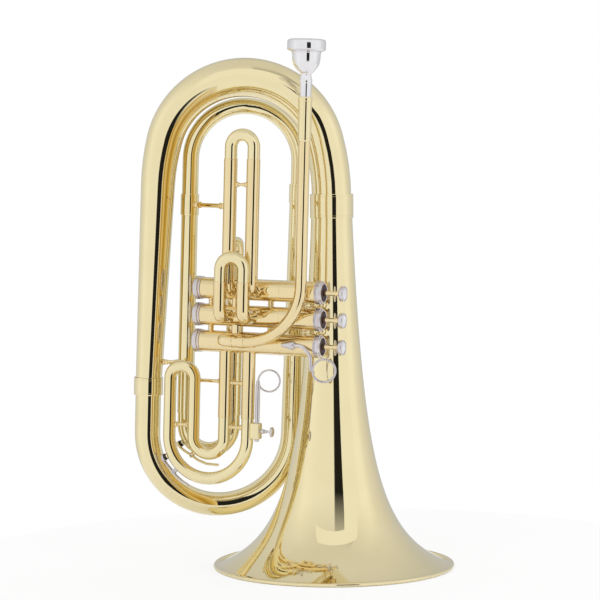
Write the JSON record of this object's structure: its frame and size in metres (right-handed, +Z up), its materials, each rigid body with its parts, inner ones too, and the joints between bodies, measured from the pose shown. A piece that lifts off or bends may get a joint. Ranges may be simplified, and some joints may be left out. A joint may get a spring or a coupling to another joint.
{
  "type": "marching baritone horn",
  "caption": "Brass horn standing on its bell: conical bows, valve cluster with slides, leadpipe with cup mouthpiece, finger rings and water keys.",
  "frame": {"origin": "on the bell's axis, in the plane of the rim that the horn stands on", "axes": "+Z up along the bell's axis, +X from the wrap of tubes towards the bell's far side, +Y from the valves and mouthpiece to the back"},
  "size_m": [0.3366, 0.254, 0.55],
  "materials": {
    "lacquered_brass": "polished, clear lacquer",
    "silver_plate": "polished silver plate",
    "piston_nickel": "lapped nickel alloy",
    "spring_steel": "plain",
    "burgundy_felt": "felt",
    "black_cork": "matte"
  },
  "bodies": {
    "horn": {"bell": "lacquered_brass", "bell_ferrule": "lacquered_brass", "main_bow": "lacquered_brass", "bow_ferrule": "lacquered_brass", "bottom_bow": "lacquered_brass", "leg_ferrule": "lacquered_brass", "inner_bow": "lacquered_brass", "inner_ferrule": "lacquered_brass", "tuning_sleeve_left": "lacquered_brass", "tuning_sleeve_right": "lacquered_brass", "link_bow": "lacquered_brass", "casing_1": "lacquered_brass", "casing_2": "lacquered_brass", "casing_3": "lacquered_brass", "knuckle_1": "lacquered_brass", "knuckle_2": "lacquered_brass", "slide1_sleeve_1": "lacquered_brass", "slide1_sleeve_2": "lacquered_brass", "slide2_sleeve_1": "lacquered_brass", "slide2_sleeve_2": "lacquered_brass", "slide3_sleeve_1": "lacquered_brass", "slide3_sleeve_2": "lacquered_brass", "leadpipe": "lacquered_brass", "receiver": "lacquered_brass", "stay_left": "lacquered_brass", "stay_slide": "lacquered_brass", "bell_brace_upper": "lacquered_brass", "bell_brace_lower": "lacquered_brass", "bottom_cap_1": "silver_plate", "bottom_cap_2": "silver_plate", "bottom_cap_3": "silver_plate", "top_cap_1": "silver_plate", "top_cap_2": "silver_plate", "top_cap_3": "silver_plate", "pinky_hook": "silver_plate", "valve_spring_1": "spring_steel", "valve_spring_2": "spring_steel", "valve_spring_3": "spring_steel", "cap_felt_1": "burgundy_felt", "cap_felt_2": "burgundy_felt", "cap_felt_3": "burgundy_felt"},
    "valve_1": {"piston_1": "piston_nickel", "button_1": "silver_plate"},
    "valve_2": {"piston_2": "piston_nickel", "button_2": "silver_plate"},
    "valve_3": {"piston_3": "piston_nickel", "button_3": "silver_plate"},
    "slide_1": {"slide1_crook": "lacquered_brass"},
    "slide_2": {"slide2_crook": "lacquered_brass"},
    "slide_3": {"slide3_crook": "lacquered_brass"},
    "tuning_slide": {"tuning_crook": "lacquered_brass"},
    "mouthpiece": {"mouthpiece": "silver_plate"},
    "finger_ring": {"ring_rod": "silver_plate"},
    "ring_screw": {"rod_screw": "silver_plate"},
    "key_1": {"water_key_1": "lacquered_brass", "key_cork_1": "black_cork"},
    "key_2": {"water_key_2": "silver_plate", "key_cork_2": "black_cork"}
  },
  "joints": [
    {"name": "valve_1_press", "type": "slide", "parent": "horn", "child": "valve_1", "axis": [-0.9331, 0.3584, 0.0293], "range_m": [0, 0.017], "stiffness_N_per_m": 110, "springref_m": -0.018, "deforming": ["valve_spring_1"]},
    {"name": "valve_2_press", "type": "slide", "parent": "horn", "child": "valve_2", "axis": [-0.9331, 0.3584, 0.0293], "range_m": [0, 0.017], "stiffness_N_per_m": 110, "springref_m": -0.018, "deforming": ["valve_spring_2"]},
    {"name": "valve_3_press", "type": "slide", "parent": "horn", "child": "valve_3", "axis": [-0.9331, 0.3584, 0.0293], "range_m": [0, 0.017], "stiffness_N_per_m": 110, "springref_m": -0.018, "deforming": ["valve_spring_3"]},
    {"name": "slide_1_pull", "type": "slide", "parent": "horn", "child": "slide_1", "axis": [0.0314, 0, 0.9995], "range_m": [0, 0.09]},
    {"name": "slide_2_pull", "type": "slide", "parent": "horn", "child": "slide_2", "axis": [0.0314, 0, 0.9995], "range_m": [0, 0.018]},
    {"name": "slide_3_pull", "type": "slide", "parent": "horn", "child": "slide_3", "axis": [-0.0314, 0, -0.9995], "range_m": [0, 0.05]},
    {"name": "tuning_slide_pull", "type": "slide", "parent": "horn", "child": "tuning_slide", "axis": [-0.0314, 0, -0.9995], "range_m": [0, 0.025]},
    {"name": "mouthpiece_pull", "type": "slide", "parent": "horn", "child": "mouthpiece", "axis": [0.0314, 0, 0.9995], "range_m": [0, 0.04]},
    {"name": "finger_ring_set", "type": "slide", "parent": "slide_3", "child": "finger_ring", "axis": [0.0314, 0, 0.9995], "range_m": [-0.02, 0.008]},
    {"name": "ring_screw_turn", "type": "hinge", "parent": "slide_3", "child": "ring_screw", "pos_m": [-0.06822, -0.03872, 0.14702], "axis": [0.9331, -0.3584, -0.0293], "range_deg": [-180, 180]},
    {"name": "key_1_open", "type": "hinge", "parent": "tuning_slide", "child": "key_1", "pos_m": [-0.14937, 0.01392, 0.11644], "axis": [-0.2506, -0.9681, 0.0079], "range_deg": [0, 10], "stiffness_Nm_per_rad": 0.06, "springref_deg": -20.05},
    {"name": "key_2_open", "type": "hinge", "parent": "slide_3", "child": "key_2", "pos_m": [-0.16737, -0.00657, 0.10193], "axis": [-0.2621, -0.965, 0.0082], "range_deg": [0, 8], "stiffness_Nm_per_rad": 0.06, "springref_deg": -20.05}
  ]
}
